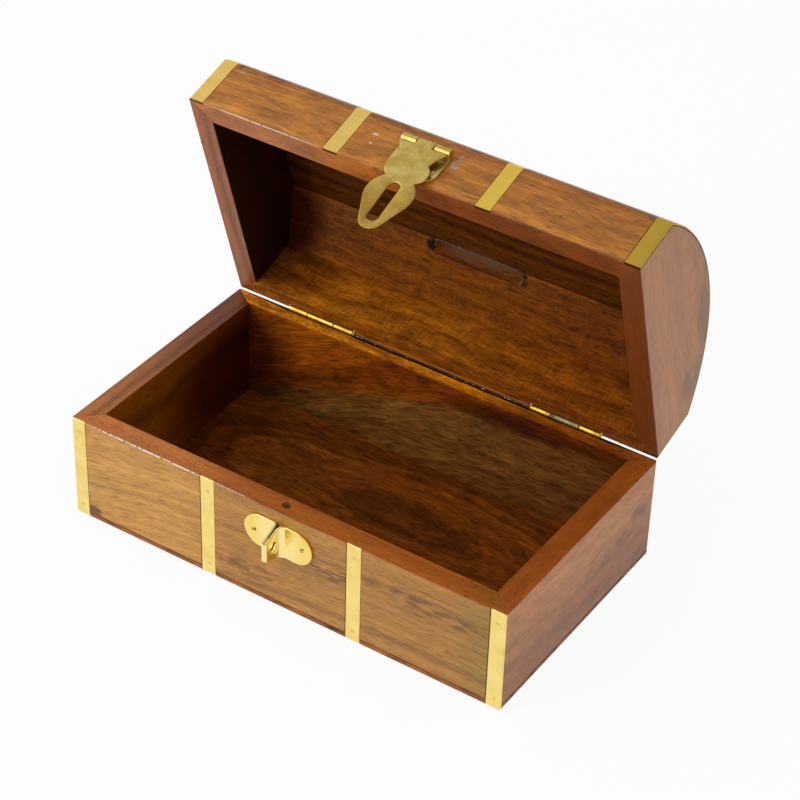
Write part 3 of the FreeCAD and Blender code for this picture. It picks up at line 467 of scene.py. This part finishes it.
# The ears end in half rounds, and towards its fold the tab narrows by one amount below and another above
ear_half = np.sqrt(np.maximum(0, ear_radius ** 2 - np.maximum(0, np.abs(plan_x) - ear_middle) ** 2))
tab_root, tab_reach = -56, 9.5
narrow_below, narrow_above = 3.2, 4.0
out = np.clip((tab_root - plan_y) / tab_reach, 0, 1)
hole_half = np.sqrt(np.maximum(0, hole_radius ** 2 - (plan_y - hole_y) ** 2))
hole_half[(np.abs(plan_x) >= 1) | (hole_half < 1e-4)] = 0
points, faces = bent_strip(staple_path, staple_facing, across=np.array((0, 0, 1.0)),
                           low=narrow_below * out - ear_half, high=ear_half - narrow_above * out,
                           gap_half=hole_half, thickness=1.0, edge=0.25)
# It is nailed on a little out of level
staple_tilt = math.radians(1.6)
points[:, 2] -= math.tan(staple_tilt) * points[:, 0]
new_piece("staple_folded", points, faces, fitting_brass, "base", ("staple",))
# Filed round heads: bright with dark dirt in the hollows
nail_brass = brass("brass_nail_filed", "#f4d274", "#5a4418", 0.3, patch=1.2)
finish_node("staple_nails", nail_brass, edge=0.1)

# Hinges: two brass butt hinges let into the outside of the back and nailed, each two leaves rolled round a
# pin. The lid's leaf of the right hinge has gone dull. Beside and between the hinges the back edges of both
# rims are torn into fibres.

# Old plain brass: golden, clouded with brown; on the tarnished leaf a grey brown without much shine
hinge_brass = brass("brass_hinge", "#dcae46", "#a0742c", 0.24)
dull_brass = brass("brass_hinge_tarnished", "#a08c66", "#74603e", 0.4)
for side in ("left", "right"):
    for piece in ("hinge_pin", "hinge_base_leaf", "hinge_base_nails", "hinge_lid_leaf", "hinge_lid_nails"):
        tarnished = (piece, side) == ("hinge_lid_leaf", "right")
        finish_node(f"{piece}_{side}", dull_brass if tarnished else hinge_brass, edge=0.12)


def torn_edge(start, end, out, up, width, height, least, steps, seed):
    """A fringe of torn wood fibres on an edge: a ridge whose height changes at every step.

    Its section is a triangle with two feet on the wood, half a width to both sides of the edge along out,
    and a tip that stands up by the height times a random share, from the least share to 1. Lengths are in
    millimetres.
    """
    start, end, out, up = (np.array(vector, float) for vector in (start, end, out, up))
    share = least + (1 - least) * np.random.default_rng(seed).random(steps)[:, None] ** 1.5
    middle = start + (end - start) * np.linspace(0, 1, steps)[:, None]
    foot = out * width / 2
    rows = np.stack((middle - foot, middle + foot, middle + up * height * share), axis=1)
    number = np.arange(steps * 3).reshape(steps, 3)
    beside = np.roll(number, -1, axis=1)
    quads = np.stack((number[:-1], beside[:-1], beside[1:], number[1:]), axis=-1).reshape(-1, 4)
    return rows.reshape(-1, 3), quads.tolist() + [number[0].tolist(), number[-1].tolist()]


def swing(points, angle, pin_y, pin_z):
    """Turns points about a pin that lies along X: the plane rotation of their distance from the pin."""
    y, z = points[:, 1] - pin_y, points[:, 2] - pin_z
    cosine, sine = math.cos(angle), math.sin(angle)
    return np.column_stack((points[:, 0], pin_y + y * cosine - z * sine, pin_z + y * sine + z * cosine))


def open_lid(points):
    """Swings points of the shut lid, in millimetres, open about the hinge pins."""
    return swing(points, opening, 1000 * hinge_pin[1], 1000 * hinge_pin[2])


# Torn across the grain: rough and without shine. On the base the fibres are dark, partly as painted shade
# in the gap under the lid, and on the lid's rim they are painted paler as painted light against its shade
fibre_tones = ("#8a5626", "#6a3e18", "#3a2010")
fibre_wood = sheesham("sheesham_torn_fibre", fibre_tones, fibre=0.4, rough=0.8, polish=0.1)
lid_rim_wood = sheesham("sheesham_torn_fibre_painted_light", ("#b4783a", "#a0642a", "#784a1e"), fibre=0.4, rough=0.8,
                        polish=0.1, lid=True)
base_rim_y, base_rim_z = 54.9, 47.9
lid_rim_y, lid_rim_z = 54.92, 48.65
fibres_per_mm = 1.8
for part, start, end, base_height, lid_height in (("left", -99.6, -75.0, 0.25, 0.5),
                                                  ("middle", -42.4, 42.4, 0.3, 1.42),
                                                  ("right", 75.0, 99.6, 0.25, 0.5)):
    steps = int((end - start) * fibres_per_mm)
    points, faces = torn_edge((start, base_rim_y, base_rim_z), (end, base_rim_y, base_rim_z),
                              out=(0, 0.94, -0.35), up=(0, 0.35, 0.94), width=0.5, height=base_height,
                              least=0.5, steps=steps, seed=3)
    new_piece(f"base_rim_fibres_{part}", points, faces, fibre_wood, "base")
    points, faces = torn_edge((start, lid_rim_y, lid_rim_z), (end, lid_rim_y, lid_rim_z),
                              out=(0, 0.71, 0.70), up=(0, 0.70, -0.71), width=0.4, height=lid_height,
                              least=0.85, steps=steps, seed=5)
    new_piece(f"lid_rim_fibres_{part}", open_lid(points), faces, lid_rim_wood, "lid")

# Lid walls: a front and a back board of sheesham between two ends that carry the dome's outline, mitred and
# glued at the corners. They are oiled and polished outside and left matt inside.

# Polished dark gold with soft blotches and fine dark pores, a yellower rim, and pale scuffs on its edges
lid_front_look = dict(pith=(-50, 126), ring=6.0, wander=9, lid=True, fleck=0.44, fibre=0.2, mottle=0.26)
lid_front_wood = sheesham("sheesham_lid_front", ("#c68022", "#b66f1a", "#9e5e18"), **lid_front_look,
                          seams=True,
                          shades=(("Z", 49.2, 48.8, "#f6dc86"), ("X", -40, 90, "#f0eeee")),
                          stains_and_painted_light=(((62, -50, 48.5), (75, 12, 0.8), "#cbbcbf", 6.0, 1.0),),
                          wear=(((-66, -55, 48.5), (32, 0.5, 0.4), "#d4c4b0", 1.4, 0.72),
                                ((-22.6, -55, 63.6), (1.5, 2, 0.7), "#dcc8b4", 0.5, 0.72),
                                ((-22.0, -55, 58.9), (0.9, 2, 0.45), "#d4bca4", 0.5, 0.8),
                                ((13.5, -55, 64), (2.6, 2, 5.0), "#b89478", 2.0, 0.5),
                                ((-89, -55, 69), (4, 2, 0.35), "#c0a080", 1.5, 0.65)))
finish_node("lid_front_wall", lid_front_wood, edge=0.2)

# Sawn with interlocked grain and hardly polished: matt orange brown, with small ripples of painted sheen
# across the board, and painted shade towards its left-hand corner inside
lid_back_wood = sheesham("sheesham_lid_back", ("#ae660e", "#9a560a", "#7c4208"), pith=(-40, 110), ring=6.0,
                         wander=14, lid=True, ripple=0.16, fibre=0.45, mottle=0.3, fleck=0.36, polish=0.2,
                         shades=(("X", -30, 60, "#dccecb"),),
                         stains_and_painted_light=(((-86, 47, 64), (38, 4, 17), "#ccc0b8", 6.0, 1.0),))
finish_node("lid_back_wall", lid_back_wood, edge=0.12)

# Red-brown with faint streaks, painted nearly black inside the lid as painted shade, and one dark spot in
# its rim
lid_left_wood = sheesham("sheesham_lid_left", ("#b06826", "#9c581e", "#77431a"), turn=front_to_back,
                         pith=(60, 30), ring=6.0, wander=9, lid=True, fibre=0.14, fleck=0.35, polish=0.4,
                         shades=(("X", -91.0, -90.7, "#46200c"), ("Z", 49.2, 48.8, "#f0e0c0")),
                         wear=(((-100, -31, 48.5), (1.2, 1.5, 1.5), "#2a1810", 3.0, 1.0),))
finish_node("lid_left_end", lid_left_wood, edge=0.12)

# Polished smooth: an even pinkish tan with cooler patches of painted sheen, a brown rim and a dark front
# corner
lid_right_wood = sheesham("sheesham_lid_right", ("#c07a3e", "#b87238", "#ac6a36"), turn=front_to_back,
                          pith=(60, 30), ring=9.0, wander=12, lid=True, fibre=0.08, mottle=0.08, fleck=0.2,
                          shades=(("Z", 49.2, 48.8, "#aa8d59"),),
                          stains_and_painted_light=(((100, -14, 90), (3, 18, 8), "#d8ecf8", 9.0, 0.75),
                                  ((100, 14, 90), (3, 18, 9), "#d0e6f2", 9.0, 0.85),
                                  ((100, 38, 80), (3, 11, 14), "#d0e6f2", 9.0, 0.8)),
                          wear=(((92, -54, 72.5), (2.3, 4, 4), "#7c4a20", 30, 1.0),))
finish_node("lid_right_end", lid_right_wood, edge=0.12)

# Dome: three slats of sheesham glued edge to edge over the ends and planed round. The coin slot is chopped
# through the front edge of the back slat, and its edges are left torn, grey and dark: the grey is partly
# dust and partly painted light, and the black at its ends is painted shade

# From the same plank as the lid's front, polished: the same figure, with painted shade that darkens it
# towards the dome's top
front_slat_wood = sheesham("sheesham_front_slat", ("#b06c20", "#a05e18", "#885014"), **lid_front_look,
                           shades=(("Z", 70, 79, "#b4a494"), ("Z", 79, 84, "#d4ccc4")))
finish_node("lid_front_slat", front_slat_wood)

# Matt inside the lid: dark chocolate with long brown flecks; it is darker than the back slat partly as
# painted shade, and darkest in the left corner, where the darkening is painted shade
# Painted shade that darkens both inner slats into the lid's left corner
painted_corner_shade = ((-91, 25, 76), (22, 45, 11), "#947068", 6.0, 1.0)
centre_wood = sheesham("sheesham_centre_slat", ("#743e08", "#603006", "#3e1c06"), pith=(-30, 60), ring=6.0,
                       wander=9, lid=True, fibre=0.46, mottle=0.2, fleck=0.36, polish=0.15,
                       stains_and_painted_light=(painted_corner_shade,),
                       wear=(((0, 21.6, 84.0), (20, 1.2, 1.5), "#55452f", 1.5, 0.6),))
finish_node("lid_centre_slat", centre_wood)

# Matt and lighter brown, faintly rippled with painted sheen, with painted shade in the left corner inside.
# Beside the slot the wood is greyer, partly raw wood and partly painted light from outside the slot, and
# the black spot at each end of the slot is painted shade in a drilled hole
back_slat_wood = sheesham("sheesham_back_slat", ("#945408", "#824406", "#643204"), pith=(-30, 60), ring=7.0,
                          wander=10, lid=True, ripple=0.1, fibre=0.48, mottle=0.22, fleck=0.36, polish=0.15,
                          shades=(("Y", 22.5, 22.1, "#704a38"), ("X", 0, 60, "#e8e0e0")),
                          stains_and_painted_light=(painted_corner_shade,),
                          wear=(((0, 27, 87), (24, 3.0, 5), "#7a5236", 3.0, 0.75),
                                ((-22, 25, 83), (2.4, 4, 3), "#1a0e08", 1.5, 0.7),
                                ((22, 25, 82), (2.4, 4, 3), "#1a0e08", 1.5, 0.7)))
finish_node("lid_back_slat", back_slat_wood)

# Torn in chopping: grey at the slot's front edge, partly dust and partly painted light from outside the
# slot, and dark and clean at its back edge
dust_and_painted_light_wood = sheesham("sheesham_torn_dust_and_painted_light", ("#b8a890", "#9a8870", "#6a5a48"), rough=0.8, polish=0.1,
                      lid=True)
lid_fibre_wood = sheesham("sheesham_torn_fibre_lid", fibre_tones, fibre=0.4, rough=0.8, polish=0.1, lid=True)
slot_front_y, slot_front_z = 21.95, 84.0
slot_back_y, slot_back_z = 28.05, 81.3
points, faces = torn_edge((-20.5, slot_front_y, slot_front_z), (20.5, slot_front_y, slot_front_z),
                          out=(0, 0, 1), up=(0, 1, 0), width=0.5, height=1.1, least=0.3, steps=60, seed=7)
new_piece("slot_front_fibres", open_lid(points), faces, dust_and_painted_light_wood, "lid")
points, faces = torn_edge((-19.5, slot_back_y, slot_back_z), (19.5, slot_back_y, slot_back_z),
                          out=(0, 0, 1), up=(0, -1, 0), width=0.5, height=0.8, least=0.1, steps=60, seed=11)
new_piece("slot_back_fibres", open_lid(points), faces, lid_fibre_wood, "lid")

# Lid bands: the same quarter-inch brass strip, bent over the dome and let in flush with the wood from the
# front rim to the back rim. It is glued in place and sanded with the lid.

# Sanded flat: golden, yellower to the right, and dark where the strip's cut ends and outer edge show
lid_band_brass = brass("brass_strip_over_lid", "#ffda7c", "#f6ce68", 0.30, lid=True,
                       shades=(("X", 0, 30, "#ffffcc"),
                               ("X", 80, 90, "#ddd6c9"),
                               ("X", 99.9, 99.98, "#5a4030"),
                               ("Z", 48.9, 48.6, "#6a5440")))
for place in band_places:
    finish_node(f"lid_band_{place}", lid_band_brass)

# Hasp: a brass leaf nailed to the lid's front, a pin, and a strap whose top is rolled round the pin. The
# strap is cut from sheet with two lobes and a slotted tail that drops over the staple.

# Rolled sheet, rubbed up but not lacquered: soft yellow with brown clouds, painted browner towards the tail
# as a painted reflection
hasp_brass = brass("brass_hasp", "#ecd078", "#c8a654", 0.24, lid=True, shades=(("Z", 50, 35, "#e0d2b8"),))
for piece in ("hasp_leaf", "hasp_nails", "hasp_pin"):
    finish_node(piece, hasp_brass, edge=0.15)

# The strap's sizes in millimetres with the lid shut, each drop measured down from the middle of the pin
strap_pin_y, strap_pin_z = -57.35, 64.9
roll_radius = 1.525
roll_half = 3.8
neck_drop, top_drop = 1.2, 2.35
lobe_drop, lobe_out, lobe_radius = 14.3, 3.5, 5.6
tail_drop, tail_radius = 27.3, 10.0
side_drops, side_halves = (31.3, 41.38), (9.165, 4.766)
tip_drop, tip_radius = 39.3, 5.2
slot_drop, slot_straight, slot_radius = 31.05, 7.45, 2.4

# Steps down the strap, closer together at the ends of the slot and over the last 0.9 mm of the tip
end_drop = tip_drop + tip_radius
last = 0.9
eased = np.sin(np.linspace(0, np.pi / 2, 9))
slot_turn = slot_straight + slot_radius * eased
drop = np.unique(np.round(np.r_[np.linspace(top_drop + 0.01, end_drop - last, 84), slot_drop - slot_turn,
                                slot_drop + slot_turn, end_drop - last * (1 - eased)], 4))

# The half width at each step is the widest of the strap's parts: a tapered top, two lobes, a round tail,
# straight sides and a round tip
lobes = lobe_out + np.sqrt(np.maximum(0, lobe_radius ** 2 - (drop - lobe_drop) ** 2))
on_sides = (drop > side_drops[0]) & (drop < side_drops[1])
widths = np.max((
    np.interp(drop, (top_drop, 6.5, 9.3, lobe_drop), (10.5, 7.8, 6.9, lobe_out), right=0),
    np.where(np.abs(drop - lobe_drop) < lobe_radius, lobes, 0),
    np.sqrt(np.maximum(0, tail_radius ** 2 - (drop - tail_drop) ** 2)),
    np.where(on_sides, np.interp(drop, side_drops, side_halves), 0),
    np.sqrt(np.maximum(0, tip_radius ** 2 - (drop - tip_drop) ** 2)),
), axis=0)
beyond = np.maximum(0, np.abs(drop - slot_drop) - slot_straight)
slot_half = np.sqrt(np.maximum(0, slot_radius ** 2 - beyond ** 2))
slot_half[slot_half < 1e-3] = 0

# The path rolls 285 degrees round the pin and then hangs straight down
curl = np.radians(np.linspace(285, 0, 24))
down_z = strap_pin_z - np.r_[neck_drop, top_drop, drop]
path_y = np.r_[strap_pin_y - roll_radius * np.cos(curl), np.full(len(down_z), strap_pin_y - roll_radius)]
path_z = np.r_[strap_pin_z + roll_radius * np.sin(curl), down_z]
strap_path = np.column_stack((np.zeros(len(path_y)), path_y, path_z))
strap_facing = np.zeros_like(strap_path)
strap_facing[:, 1] = -1
strap_facing[:len(curl), 1] = -np.cos(curl)
strap_facing[:len(curl), 2] = np.sin(curl)
roll_rows = len(path_y) - len(drop)
half_width = np.r_[np.full(roll_rows, roll_half), widths]
points, faces = bent_strip(strap_path, strap_facing, across=np.array((1.0, 0, 0)), low=-half_width,
                           high=half_width, gap_half=np.r_[np.zeros(roll_rows), slot_half],
                           thickness=0.95, edge=0.4)

# The tail's right side is bent out a little, and the strap hangs askew and leans in
bend_out = 0.55
bend_drop, bend_length = 22, 12
bend_side, bend_width = 2, 6
skew, lean = np.radians((1.4, 2.8))
sideways, down = points[:, 0].copy(), strap_pin_z - points[:, 2]
tail_share = np.clip((down - bend_drop) / bend_length, 0, 1)
points[:, 1] -= bend_out * tail_share * np.clip((sideways - bend_side) / bend_width, 0, 1)
points[:, 0] = sideways * math.cos(skew) + down * math.sin(skew)
points[:, 2] = strap_pin_z - (down * math.cos(skew) - sideways * math.sin(skew))
points = open_lid(swing(points, lean, strap_pin_y, strap_pin_z))
new_piece("hasp_strap_cut_sheet", points, faces, hasp_brass, "hasp", ("hasp_strap",))

# Studio: a flat white card under the box, one large soft lamp at the front left, and a room that is bright
# at the left, grey in the middle and paler at the right. Sizes are in metres.
card_half = 3.0
corners = [(-card_half, -card_half, 0), (card_half, -card_half, 0), (card_half, card_half, 0),
           (-card_half, card_half, 0)]
card_mesh = bpy.data.meshes.new("white_card")
card_mesh.from_pydata(corners, [], [(0, 1, 2, 3)])
card = bpy.data.objects.new("white_card", card_mesh)
bpy.context.scene.collection.objects.link(card)

# Matt white paint: the camera and mirror rays see it nearly pure white, and the box's shadow stays on it
card_paint = bpy.data.materials.new("white_card_matt")
card_paint.use_nodes = True
card_tree = card_paint.node_tree
card_tree.nodes.clear()
ray = add(card_tree, "ShaderNodeLightPath").outputs
seen = add(card_tree, "ShaderNodeMath", {0: ray["Is Camera Ray"], 1: ray["Is Glossy Ray"]},
           operation="MAXIMUM").outputs[0]
seen = add(card_tree, "ShaderNodeMath", {0: seen, 1: ray["Is Transmission Ray"]},
           operation="MAXIMUM").outputs[0]
white_share = add(card_tree, "ShaderNodeMath", {0: seen, 1: 0.93}, operation="MULTIPLY").outputs[0]
matt = add(card_tree, "ShaderNodeBsdfDiffuse", {"Color": linear("#f4f4f2")}).outputs[0]
white = add(card_tree, "ShaderNodeEmission", {"Color": linear("#ffffff"), "Strength": 1.0}).outputs[0]
painted = add(card_tree, "ShaderNodeMixShader", {0: white_share, 1: matt, 2: white}).outputs[0]
add(card_tree, "ShaderNodeOutputMaterial", {"Surface": painted})
card_mesh.materials.append(card_paint)

# The room's light as shares of white from its left side to its right; the camera sees it plain white
room_light = ((0.22, 0.85), (0.34, 0.42), (0.6, 0.42), (0.8, 0.65))
room = bpy.data.worlds.new("studio_room")
room.use_nodes = True
bpy.context.scene.world = room
room_tree = room.node_tree
room_tree.nodes.clear()
ray = add(room_tree, "ShaderNodeLightPath").outputs
heading = add(room_tree, "ShaderNodeTexCoord").outputs["Generated"]
heading = add(room_tree, "ShaderNodeSeparateXYZ", {0: heading}).outputs
left_to_right = add(room_tree, "ShaderNodeMapRange", {0: heading["X"], 1: -1.0, 2: 1.0}).outputs[0]
level = add(room_tree, "ShaderNodeValToRGB", {0: left_to_right},
            stops=[(place, (value, value, value, 1)) for place, value in room_light]).outputs["Color"]
level = add(room_tree, "ShaderNodeMix", {0: ray["Is Camera Ray"], 2: level, 3: 1.0},
            data_type="FLOAT").outputs[0]
sky = add(room_tree, "ShaderNodeBackground", {"Color": linear("#ffffff"), "Strength": level}).outputs[0]
add(room_tree, "ShaderNodeOutputWorld", {"Surface": sky})

lamp_data = bpy.data.lights.new("soft_box", "AREA")
lamp_data.shape = "SQUARE"
lamp_data.size = 1.2
lamp_data.energy = 12
lamp = bpy.data.objects.new("soft_box", lamp_data)
bpy.context.scene.collection.objects.link(lamp)
lamp.location = (-0.75, -0.98, 0.95)
lamp.rotation_euler = (-lamp.location).to_track_quat("-Z", "Y").to_euler()

# Camera: at the photograph's place, a long lens on a 36 mm sensor, looking down on the open box from its
# front right. Its place, turn and lens are fitted to the straight edges of the box.
camera_place = (0.436718, -0.655896, 0.657591)
azimuth, elevation, roll = np.radians((32.637, 36.835, -1.908))
back = np.array((math.sin(azimuth) * math.cos(elevation), -math.cos(azimuth) * math.cos(elevation),
                 math.sin(elevation)))
level_right = np.array((math.cos(azimuth), math.sin(azimuth), 0.0))
level_up = np.cross(back, level_right)
right = math.cos(roll) * level_right - math.sin(roll) * level_up
up = math.sin(roll) * level_right + math.cos(roll) * level_up
camera_data = bpy.data.cameras.new("photo_camera")
camera_data.sensor_width = 36
camera_data.lens = 115.578
camera = bpy.data.objects.new("photo_camera", camera_data)
bpy.context.scene.collection.objects.link(camera)
stance = np.eye(4)
stance[:3] = np.column_stack((right, up, back, camera_place))
camera.matrix_world = stance.T.tolist()
bpy.context.scene.camera = camera
bpy.context.scene.view_settings.view_transform = "Standard"

bpy.context.view_layer.update()
